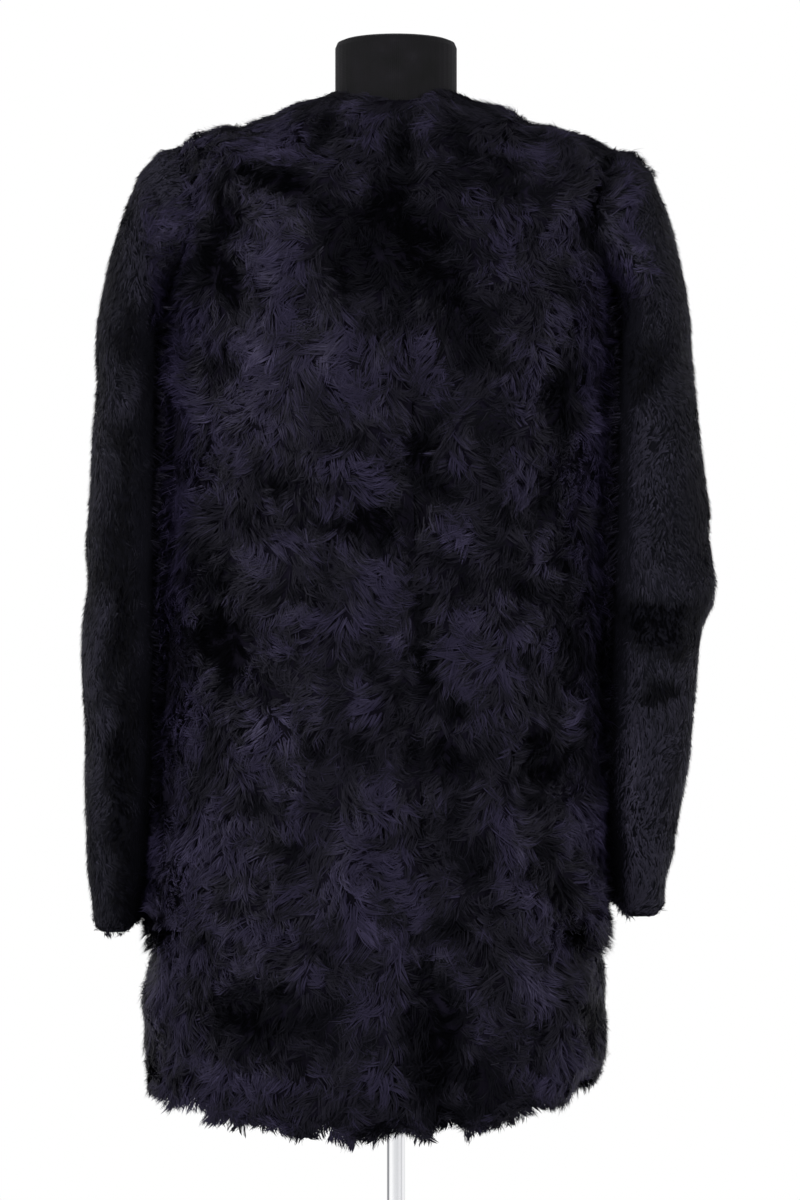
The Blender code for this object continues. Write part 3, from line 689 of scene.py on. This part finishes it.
def lock_spines(name, paths, normals, lift, pile, rng):
    """The middle lines of the hairs round each guide, drawn together towards its tip, with
    their ways up and aside, each hair's guide, and which hairs are underfur."""
    stations = paths.shape[1]
    owner = np.repeat(np.arange(len(paths)), pile.per_guide)
    total = len(owner)
    reach = LOCK_REACH * pile.spacing * MM * np.sqrt(rng.random(total))
    turned = rng.uniform(0, 2 * math.pi, total)
    aside, along = reach * np.cos(turned), reach * np.sin(turned)
    scale = rng.uniform(SHORTEST, 1.0, total)
    tangents = unit(np.gradient(paths, axis=1))
    sides = unit(np.cross(normals, tangents))
    t = np.linspace(0, 1, pile.steps + 1)
    at = t[None, :] * scale[:, None] * (stations - 1)
    low = np.minimum(at.astype(int), stations - 2)
    share = (at - low)[..., None]
    rows = np.arange(total)[:, None]

    def sample(values):
        own = values[owner]
        return own[rows, low] * (1 - share) + own[rows, low + 1] * share

    centre, up, side = sample(paths), unit(sample(normals)), unit(sample(sides))
    drawn = 1 - pile.close * t**1.4
    spine = (
        centre
        + side * (aside[:, None] * drawn[None, :])[..., None]
        + (tangents[owner, 0] * along[:, None])[:, None, :]
    )
    flat = spine.reshape(-1, 3)
    sink = pile.sink * MM
    tufts = relief(flat).reshape(total, len(t))
    top = lift[owner, None] + pile.tuft * MM * tufts + rng.normal(0, UNEVEN, total)[:, None]
    top -= rounding(name, flat).reshape(total, len(t))
    under = np.arange(total) % pile.per_guide < pile.under
    top = top - UNDER_DEEP * under[:, None]
    # from its sunk root a hair rises steeply, and levels out towards its tip, which may flick up
    height = -sink + (sink + top) * (1 - (1 - t[None, :]) ** 2.0)
    height += (rng.normal(0, pile.flick * MM, total))[:, None] * t[None, :] ** 3
    return spine + up * height[..., None], up, side, owner, under


SHOULDER_LEAN = 1.2  # hairs on level ground turn their flat side this much to back or front
LEAN_PARTS = 0.03  # those behind this depth to the back, the others to the front
BLADE_ROUND = 0.33  # how far the shading follows a hair's own flat side
ROLL = 0.4  # how far a hair's flat side rolls over, in radians
WIDTHS = (0.7, 1.25)  # the narrowest and widest hair, as shares of the pile's width
GRAIN = 0.17  # how unevenly hairs side by side catch the light


def hair_blades(spine, up, side, under, pile, rng):
    """Flat hairs along the spines, tapered to their tips, and the normals that shade them,
    which follow the tufts' slopes."""
    total, stations = spine.shape[:2]
    t = np.linspace(0, 1, stations)
    heading = unit(np.gradient(spine, axis=1))
    leaning = ease(0.3, 0.8, up[..., 2]) * np.where(spine[..., 1] < LEAN_PARTS, -1.0, 1.0)
    up = unit(up + leaning[..., None] * np.array((0.0, SHOULDER_LEAN, 0.0)))
    flat = unit(np.cross(heading, up))
    roll = rng.uniform(-ROLL, ROLL, total)
    lay = flat * np.cos(roll)[:, None, None] + np.cross(heading, flat) * np.sin(roll)[:, None, None]
    widths = pile.width * MM * rng.uniform(*WIDTHS, total) * np.where(under, UNDER_WIDER, 1.0)
    taper = 0.5 * (1 - t**1.6) * (0.8 + 0.5 * np.sin(math.pi * np.minimum(t * 1.4, 1)))
    half = lay * (widths[:, None] * taper[None, :])[..., None]
    facing = np.cross(lay, heading)
    tilt = side * slope(spine, side, pile.tuft * MM)[..., None]
    ahead = unit(np.cross(side, up))
    tilt += ahead * slope(spine, ahead, pile.tuft * MM)[..., None]
    grain = rng.normal(0, GRAIN, total)[:, None, None]
    shade = unit(up - tilt + BLADE_ROUND * facing + grain * heading)
    verts = np.concatenate(
        (spine[:, :-1] - half[:, :-1], spine[:, :-1] + half[:, :-1], spine[:, -1:]), axis=1
    )
    shades = np.concatenate((shade[:, :-1], shade[:, :-1], shade[:, -1:]), axis=1)
    return verts.reshape(-1, 3), shades.reshape(-1, 3)


def strand_faces(total, steps):
    """Quads up each hair and a triangle at its tip, as flat arrays of corners and sizes."""
    per = 2 * steps + 1
    first = np.arange(total)[:, None] * per
    k = np.arange(steps - 1)
    quads = np.stack((k, steps + k, steps + k + 1, k + 1), axis=1).reshape(-1)
    tip = np.array((steps - 1, 2 * steps - 1, 2 * steps))
    corners = first + np.concatenate((quads, tip))[None, :]
    sizes = np.tile(np.array([4] * (steps - 1) + [3]), total)
    return corners.reshape(-1), sizes


def hair_mesh(name, verts, shades, steps, tones, finishes):
    """One object of all the hairs, whose faces take their hair's tone."""
    corners, sizes = strand_faces(len(tones), steps)
    data = bpy.data.meshes.new(name)
    data.vertices.add(len(verts))
    data.vertices.foreach_set("co", verts.reshape(-1).astype(np.float32))
    data.loops.add(len(corners))
    data.loops.foreach_set("vertex_index", corners.astype(np.int32))
    data.polygons.add(len(sizes))
    starts = np.concatenate(([0], np.cumsum(sizes)[:-1]))
    data.polygons.foreach_set("loop_start", starts.astype(np.int32))
    for finish in finishes:
        data.materials.append(finish)
    data.polygons.foreach_set("material_index", np.repeat(tones, steps).astype(np.int32))
    data.polygons.foreach_set("use_smooth", np.ones(len(sizes), bool))
    data.update(calc_edges=True)
    data.normals_split_custom_set_from_vertices(shades.tolist())
    piece = link_object(name, data)
    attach(piece, BODY)
    return piece


# Patches of lit or shaded hair on the coat's back, in millimetres: middle, half sizes,
# and how much lighter (or darker, below 0) they are
PATCHES = (
    (-101, 1427, 22, 20, 0.9), (-26, 1446, 29, 15, 0.6), (-64, 1429, 14, 12, -0.4),
    (-109, 1389, 44, 12, -1.2), (-167, 1390, 13, 23, 0.7), (-195, 1398, 10, 12, -0.7),
    (-186, 1348, 11, 44, 0.6), (-199, 1257, 10, 52, 0.6), (-154, 1322, 15, 50, -1.2),
    (-106, 1333, 24, 41, 0.55), (-99, 1252, 34, 43, 0.7), (-130, 1184, 34, 43, 0.4),
    (-5, 1334, 63, 41, -0.75), (41, 1411, 34, 25, -0.5), (-29, 1387, 17, 12, 0.5),
    (97, 1345, 10, 29, 0.6), (128, 1382, 26, 17, -0.3), (132, 1429, 17, 15, 0.7),
    (89, 1405, 14, 14, -0.5), (200, 1340, 24, 44, 0.9), (141, 1275, 31, 12, 1.0),
    (141, 1206, 14, 34, -0.7), (165, 1195, 8, 61, 0.8), (25, 1208, 12, 10, 1.0),
    (39, 1242, 8, 22, 0.8), (63, 1267, 34, 25, -0.3), (-39, 1237, 37, 30, 0.5),
    (-39, 1148, 24, 22, 0.9), (25, 1161, 14, 42, -0.8), (-39, 1104, 51, 8, -1.0),
    (-161, 1060, 28, 22, -0.7), (-26, 1051, 34, 25, 0.7), (63, 1081, 14, 19, 0.8),
    (-116, 1064, 34, 26, 0.3), (106, 1175, 26, 26, 0.2), (128, 1116, 19, 34, -0.3),
    (-147, 983, 17, 40, -1.2), (-99, 911, 22, 43, 0.7), (-47, 962, 30, 30, 0.3),
    (25, 979, 12, 42, -1.0), (46, 907, 12, 34, -0.8), (73, 972, 24, 22, 0.6),
    (123, 893, 17, 29, -0.9), (147, 896, 7, 31, 0.4), (155, 995, 17, 52, -0.5),
    (-188, 925, 21, 52, 0.3), (-170, 796, 43, 43, 0.4), (-39, 802, 42, 42, 0.5),
    (-9, 751, 29, 12, 0.9), (-95, 877, 9, 20, -0.5), (155, 797, 22, 22, -0.3),
    (30, 654, 24, 80, -1.1), (-5, 662, 12, 37, 0.5), (-108, 680, 51, 43, -0.7),
    (-188, 690, 30, 38, 0.4), (106, 701, 39, 29, 0.3), (141, 651, 34, 26, 0.2),
    (80, 639, 29, 43, -0.5), (-179, 608, 23, 10, 0.3),
)
# The sleeves' patches, given the same way: painted shade in their folds and beside the body, and
# painted light on their lit parts
SLEEVE_PATCHES = (
    (224, 1012, 39, 19, -1.3), (225, 961, 16, 12, -0.9), (202, 1237, 21, 32, -0.8),
    (180, 1100, 12, 53, -0.5), (224, 1136, 35, 62, 0.2), (211, 872, 35, 97, 0.5),
    (179, 889, 7, 123, -0.5), (-233, 942, 19, 202, -0.9), (-264, 942, 11, 176, 0.3),
    (-246, 1268, 18, 53, -0.2), (-220, 1162, 12, 88, -0.6), (-228, 1245, 14, 50, -0.6),
)
DARKER = 1.5  # shaded patches count for more than lit ones
PATCH_EDGE = 1.7  # over 1, a patch is flat in its middle and falls off faster at its edge

# The back's parting: (x, z) in millimetres from the hem up
PARTING_MM = ((2, 570), (14, 700), (20, 850), (17, 1000), (13, 1150), (9, 1300), (6, 1430))


def from_parting(points):
    """How far each point lies to the right of the parting."""
    line = np.array(PARTING_MM, float) * MM
    return points[:, 0] - np.interp(points[:, 2], line[:, 1], line[:, 0])


def patch_tone(points, patches):
    """The patches' lightness, with flat middles and edges that wander like tufts."""
    x = points[:, 0] / MM + 8 * swell(points, 0.05, 31) + 5 * swell(points, 0.02, 32)
    z = points[:, 2] / MM + 8 * swell(points, 0.05, 33) + 5 * swell(points, 0.02, 34)
    tone = np.zeros(len(points))
    for middle_x, middle_z, half_x, half_z, lighter in patches:
        off = np.hypot((x - middle_x) / half_x, (z - middle_z) / half_z)
        tone += lighter * (DARKER if lighter < 0 else 1.0) * bell(off**PATCH_EDGE)
    return tone


PATCH_SHARE = 0.95
# painted shade along the back's parting: how much darker, and its half width
PARTING_PAINTED_SHADE = 0.3
PARTING_HALF = 0.007
BACK_LIGHTER = 0.1
BAND_LIGHTER = 0.1  # the band below the sleeves is greyer
RIGHT_PAINTED_SHADE = 0.12  # and painted shade on the back to the right of its middle, down to the band, away from the key light


def back_tone(points):
    """How light the hair on the back is at each point: its patches of painted light and shade, and
    painted shade along the parting and to the right of the middle.
    """
    x, z = points[:, 0] / MM, points[:, 2] / MM
    tone = PATCH_SHARE * patch_tone(points, PATCHES)
    tone -= PARTING_PAINTED_SHADE * bell(from_parting(points) / PARTING_HALF)
    tone += BACK_LIGHTER + BAND_LIGHTER * ease(760, 735, z)
    tone -= RIGHT_PAINTED_SHADE * ease(25, 55, x) * ease(735, 760, z)
    return tone


GROOVE_PAINTED_LIGHT = 0.8  # painted light: paler hair in the groove between body and sleeve, where shade falls
FLANK_PAINTED_LIGHT = 0.4  # painted light: paler hair on the body's flanks facing a sleeve, in the shaded crease
UNDER_DARKER = 0.15
WANDER = ((0.45, 0.075, 11),)  # strength, size and seed of the tone's slow drift
MOTTLE = ((0.3, 0.03, 12), (0.35, 0.014, 13))  # and of its smaller patches
MOTTLE_FADES = 0.25  # these are weaker by this much over the waist
TUFT_PAINTED_LIGHT_AND_SHADE = 0.25  # painted light on the tufts' tops and painted shade in their hollows
SLEEVE_WANDER = 0.4
SLEEVE_LIGHTER = 0.25
LEFT_INNER_PAINTED_LIGHT = 0.7  # painted light: how much lighter the left sleeve's shaded inner side is
RIGHT_INNER_PAINTED_LIGHT = (1.0, 0.6)  # the right one's painted light at the cuff, and how much less higher up
TONE_EDGES = (-0.95, -0.3, 0.25, 0.95)  # the lightness at which one tone gives way to the next


def sleeve_tone(points, normals):
    """How light a sleeve's short fur is: painted light on its shaded side towards the body, and
    painted light and shade in its patches on the back.
    """
    inner = ease(0.1, 1.0, -normals[:, 0] * np.sign(points[:, 0]))
    at_cuff, less = RIGHT_INNER_PAINTED_LIGHT
    right = at_cuff - less * ease(0.88, 1.0, points[:, 2])
    # painted light on the sleeve's inner side
    lighter = np.where(points[:, 0] > 0, right, LEFT_INNER_PAINTED_LIGHT) * inner
    wander = SLEEVE_WANDER * swells(points, WANDER)
    back = ease(0.6, -0.5, normals[:, 1])
    return back * patch_tone(points, SLEEVE_PATCHES) + wander + SLEEVE_LIGHTER + lighter


def body_tone(points, normals):
    """How light the long hair is: mottled all over, with its patches of painted light and shade on
    the back only, painted light on the flanks beside the sleeves, and painted light and shade on the
    tufts.
    """
    wander = swells(points, WANDER)
    back = ease(0.1, -0.3, normals[:, 1])
    mottle = swells(points, MOTTLE)
    mottle *= 1.0 - MOTTLE_FADES * ease(1.05, 1.2, points[:, 2])
    # painted light on the flanks that face a sleeve, added to the mottle
    along_sleeve = ease(0.73, 0.76, points[:, 2]) * ease(1.32, 1.26, points[:, 2])
    mottle += FLANK_PAINTED_LIGHT * ease(0.45, 0.85, np.abs(normals[:, 0])) * along_sleeve
    drift = wander * (1 - 0.7 * back)  # weaker on the back, which has its patches
    return back * back_tone(points) + drift + mottle + TUFT_PAINTED_LIGHT_AND_SHADE * relief(points)


def pick_tones(lightness, mix, rng):
    """A tone for each hair from how light its lock is."""
    level = lightness + rng.normal(0, mix, len(lightness))
    return np.digitize(level, TONE_EDGES)


# ---------------------------------------------------------------- where each kind grows


def reach_over(points):
    """How far hair has to stand out between the body and a sleeve to close the gap."""
    at_cuff, at_armhole = widening(points)
    return 0.0045 + 0.004 * at_cuff + 0.002 * at_armhole


CAP_REACH = 0.216  # how far out the back's long hair lies over the sleeve's cap
CAP_FOOT = 1.275  # down to this height
CAP_FRONT = 0.02  # and no further to the front than this
CAP_RAGGED = 0.006  # how unevenly it ends
FLANK_HALF = 0.014  # half the width of the strip where body and sleeve touch with their fur
GROOVE_FACING = 0.4  # its faces look across the gap at least this much
GROOVE_BEHIND = (0.012, 0.042)  # how far behind the sleeve's middle line the groove lies
GROOVE_FOOT = 0.035  # how far over the cuff it starts


def on_cap(name, spots, normals):
    """The sleeve's cap, which the back's long hair lies over."""
    ragged = CAP_RAGGED * swell(spots, 0.03, 42)
    within = np.abs(spots[:, 0]) + ragged < CAP_REACH
    return (spots[:, 1] < CAP_FRONT) & within & (spots[:, 2] + 2 * ragged > CAP_FOOT)


def behind_sleeve_line(spots):
    """How far towards the back each point lies from the sleeves' middle lines."""
    line = np.array(SLEEVE_LINES_MM["sleeve_left"], float) * MM
    return np.interp(spots[:, 2], line[:, 2], line[:, 1]) - spots[:, 1]


def on_flank(name, spots, normals):
    """A narrow upright strip where the body and a sleeve face each other."""
    faces = beside_sleeve(name, spots, normals) > 0.5
    return faces & (np.abs(behind_sleeve_line(spots)) < FLANK_HALF)


def in_groove(name, spots, normals):
    """The groove that the body and a sleeve leave between them, seen from the back."""
    faces = inward(name) * normals[:, 0] * np.sign(spots[:, 0]) > GROOVE_FACING
    behind = behind_sleeve_line(spots)
    low, high = SLEEVE_SPAN
    held = (spots[:, 2] > low + GROOVE_FOOT) & (spots[:, 2] < high)
    return faces & held & (behind > GROOVE_BEHIND[0]) & (behind < GROOVE_BEHIND[1])


# ---------------------------------------------------------------- growing it

# How many more locks start where a lock leaves an edge: 2 where no other number is given
EDGE_LOCKS = {"back_left": 1, "back_right": 1, "front_hem_left": 5, "front_hem_right": 5}
EDGE_STRAY = 1.6  # these locks stray this many times as far
SHORT_PAST_EDGE = 0.3  # past a hem's or cuff's edge, hairs go on for this share of their length
FLAT_ON_TOP = 0.6  # how much of a tuft's height lies down on the shoulders
SLEEVE_REACH = 0.4  # the sleeve's own fur stands out for this share of reach_over
CORNER_LIFT = 0.003  # how far the body's fur stands out over the sleeves' inner edges
TURNS = ((0.35, 0.11, 21), (0.45, 0.04, 22), (0.5, 0.02, 27))  # of locks side by side


def guide_paths(spots, normals, pile, flow, stray, past_edge, rng):
    """The path that each lock takes from its spot, with the ways up along it."""
    count = len(spots)
    ways = flow(spots, normals)
    ways = unit(ways - normals * np.sum(ways * normals, axis=1)[:, None])
    angles = swells(spots, TURNS) * pile.bend
    ways = turn(ways, normals, angles + rng.normal(0, stray, count))
    bends = pile.bend * (0.9 * swell(spots, 0.035, 23) + rng.normal(0, 0.3, count))
    lengths = pile.length * MM * (1 + 0.25 * swell(spots, 0.05, 24))
    lengths = lengths * rng.uniform(0.8, 1.15, count)
    return walk(spots, normals, ways, lengths, bends, pile.steps, past_edge)


def lifted(name, spots, normals, pile, share, rng):
    """How high each lock stands over the outer face."""
    lift = pile.lift * MM * (1.0 + rng.normal(0, 0.4, len(spots)))
    lift -= pile.tuft * MM * FLAT_ON_TOP * ease(0.5, 0.9, normals[:, 2])
    lift += beside_sleeve(name, spots, normals) * reach_over(spots) * share
    if not name.startswith("sleeve"):
        along_x = np.abs(normals[:, 0])
        corner = ease(0.35, 0.6, along_x) * ease(0.92, 0.75, along_x)
        lift += CORNER_LIFT * corner * ease(0.2, -0.2, normals[:, 1])
    return lift


def grow(name, pile, flow, finishes, seed, title="hair_", only=None):
    """The hair of one piece, or of the part of it that only(name, spots, normals) picks."""
    rng = np.random.default_rng(seed)
    sleeve = name.startswith("sleeve") and only is None
    past_edge = SHORT_PAST_EDGE if "hem" in name or sleeve else 1.0
    spots, normals = scatter(name, pile.spacing * MM, rng, only)
    paths, ups, left = guide_paths(spots, normals, pile, flow, pile.stray, past_edge, rng)
    if only is None:  # thicker where the hair leaves an edge
        again = np.repeat(np.flatnonzero(left), EDGE_LOCKS.get(name, 2))
        stray = pile.stray * EDGE_STRAY
        more_paths, more_ups, _ = guide_paths(
            spots[again], normals[again], pile, flow, stray, past_edge, rng
        )
        paths, ups = np.concatenate((paths, more_paths)), np.concatenate((ups, more_ups))
        spots, normals = paths[:, 0], ups[:, 0]
    lift = lifted(name, spots, normals, pile, SLEEVE_REACH if sleeve else 1.0, rng)
    spine, up, side, owner, under = lock_spines(name, paths, ups, lift, pile, rng)
    verts, shades = hair_blades(spine, up, side, under, pile, rng)
    light = sleeve_tone(spots, normals) if sleeve else body_tone(spots, normals)
    light = light[owner] - UNDER_DARKER * under
    # painted light in the shaded groove between body and sleeve
    if only is in_groove:
        light += GROOVE_PAINTED_LIGHT
    tones = pick_tones(light, pile.mix, rng)
    return hair_mesh(title + name, verts, shades, pile.steps, tones, finishes)


def falling(spots, normals):
    """Long hair falls, and lies a little away from the back's parting. On the shoulders
    it lies outward and to its own side."""
    off = from_parting(spots)
    ways = np.tile(-UP, (len(spots), 1))
    # beside the parting hair leans to its own side, and some locks cross over
    crossing = 0.1 * np.sign(off) + 0.8 * swell(spots, 0.018, 41)
    ways[:, 0] += np.where(normals[:, 1] < 0, crossing * bell(off / 0.015), 0.0)
    # on the shoulders it lies outward, and to the back or front
    side = np.sign(spots[:, 0])
    level = ease(0.35, 0.85, normals[:, 2])
    ways[:, 0] += level * 0.8 * side
    ways[:, 1] += level * 0.9 * (2 * ease(0.015, 0.04, spots[:, 1]) - 1)
    # at the armhole it lies over the sleeve's cap
    at_armhole = ease(0.14, 0.17, np.abs(spots[:, 0])) * ease(1.2, 1.27, spots[:, 2])
    ways[:, 0] += side * at_armhole
    return ways


def round_the_neck(spots, normals):
    """The collar's hair is combed level round the neck, and falls at its outer edge."""
    ways = unit(np.cross(normals, UP))
    hanging = ease(1.465, 1.43, spots[:, 2])[:, None]
    return ways * (1.0 - 0.75 * hanging) - UP * (0.3 + 0.9 * hanging)


# How deep each pelt's outer face is sunk under its solid's, in millimetres
LONG_SINK_MM = 4.5
SHORT_SINK_MM = 2.5


def make_coat():
    """Every coat piece: its pelt and its hair. A row of
    kinds is a pile, its tones and slot, what its seed adds, its title, and where it grows."""
    for seed, name in enumerate(COAT_NODES, start=40):
        sink_mm, underfur, flow, slot = LONG_SINK_MM, UNDERFUR, falling, "long_fur"
        if name.startswith("sleeve"):
            sink_mm, underfur, slot = SHORT_SINK_MM, SHEARED_UNDERFUR, "short_fur"
            kinds = [
                (SHORT, SHORT_TONES, slot, 0, "hair_", None),
                (LONG, LONG_TONES, "long_fur", 20, "cap_hair_", on_cap),
                (BETWEEN, SHORT_TONES, slot, 40, "inner_hair_", on_flank),
                (GROOVE, SHORT_TONES, slot, 60, "groove_hair_", in_groove),
            ]
        elif name == "collar":
            flow = round_the_neck
            kinds = [(COLLAR_HAIR, LONG_TONES, slot, 0, "hair_", None)]
        else:
            slot = "band_fur" if "hem" in name else "long_fur"
            pile = LONG if name.startswith("back") else FRONT_LONG
            kinds = [(pile, LONG_TONES, slot, 0, "hair_", None)]
            if "hem" not in name:
                kinds.append((BETWEEN, LONG_TONES, slot, 20, "flank_hair_", on_flank))
            if name in ("back_left", "back_right"):
                kinds.append((GROOVE, LONG_TONES, slot, 60, "groove_hair_", in_groove))
        pelt = make_pelt(name, sink_mm, underfur)
        hair = [
            grow(name, pile, flow, tones, seed + more, title, only)
            for pile, tones, own_slot, more, title, only in kinds
        ]


make_coat()


# ---------------------------------------------------------------- form, stand and stage


def finish_nodes():
    """The form and its stand show their solids, in materials of their own."""
    finishes = {
        "form_torso": jersey_material(),
        "form_pole": chrome_material(),
        "base_socket": metal_material(
            "brushed_steel", "#b9bbbe", "#8d8f94", 0.3, 260.0, (1, 1, 12)
        ),
        "base_plate": metal_material(
            "brushed_steel_foot", "#b4b6ba", "#8a8c91", 0.34, 220.0, (0.1, 8, 1)
        ),
    }
    for name, finish in finishes.items():
        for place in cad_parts[name].material_slots:
            place.material = finish


finish_nodes()


FLOOR_RADIUS = 2.3
AIM = (0.0, 0.0, 1.05)  # the middle of the coat
SOFTBOXES = (  # name, place, size and watts
    ("key", (-2.3, -2.4, 2.3), 1.4, 110.0),
    ("fill", (2.4, -2.0, 1.7), 1.4, 62.0),
)


def make_studio():
    """A pale floor, a white world all round, and two softboxes."""
    floor_data = bpy.data.meshes.new("floor")
    mesh = bmesh.new()
    bmesh.ops.create_circle(mesh, cap_ends=True, segments=96, radius=FLOOR_RADIUS)
    mesh.to_mesh(floor_data)
    mesh.free()
    floor_data.materials.append(floor_material())
    floor = link_object("floor", floor_data)
    world = bpy.data.worlds.new("studio_white")
    world.use_nodes = True
    shade = world.node_tree.nodes["Background"]
    shade.inputs["Color"].default_value = (1.0, 1.0, 1.0, 1.0)
    shade.inputs["Strength"].default_value = 1.0
    bpy.context.scene.world = world
    for name, place, size, power in SOFTBOXES:
        light = bpy.data.lights.new(name, "AREA")
        light.size = size
        light.energy = power
        lamp = link_object(name, light)
        lamp.location = place
        way = Vector(AIM) - Vector(place)
        lamp.rotation_euler = way.to_track_quat("-Z", "Y").to_euler()


make_studio()
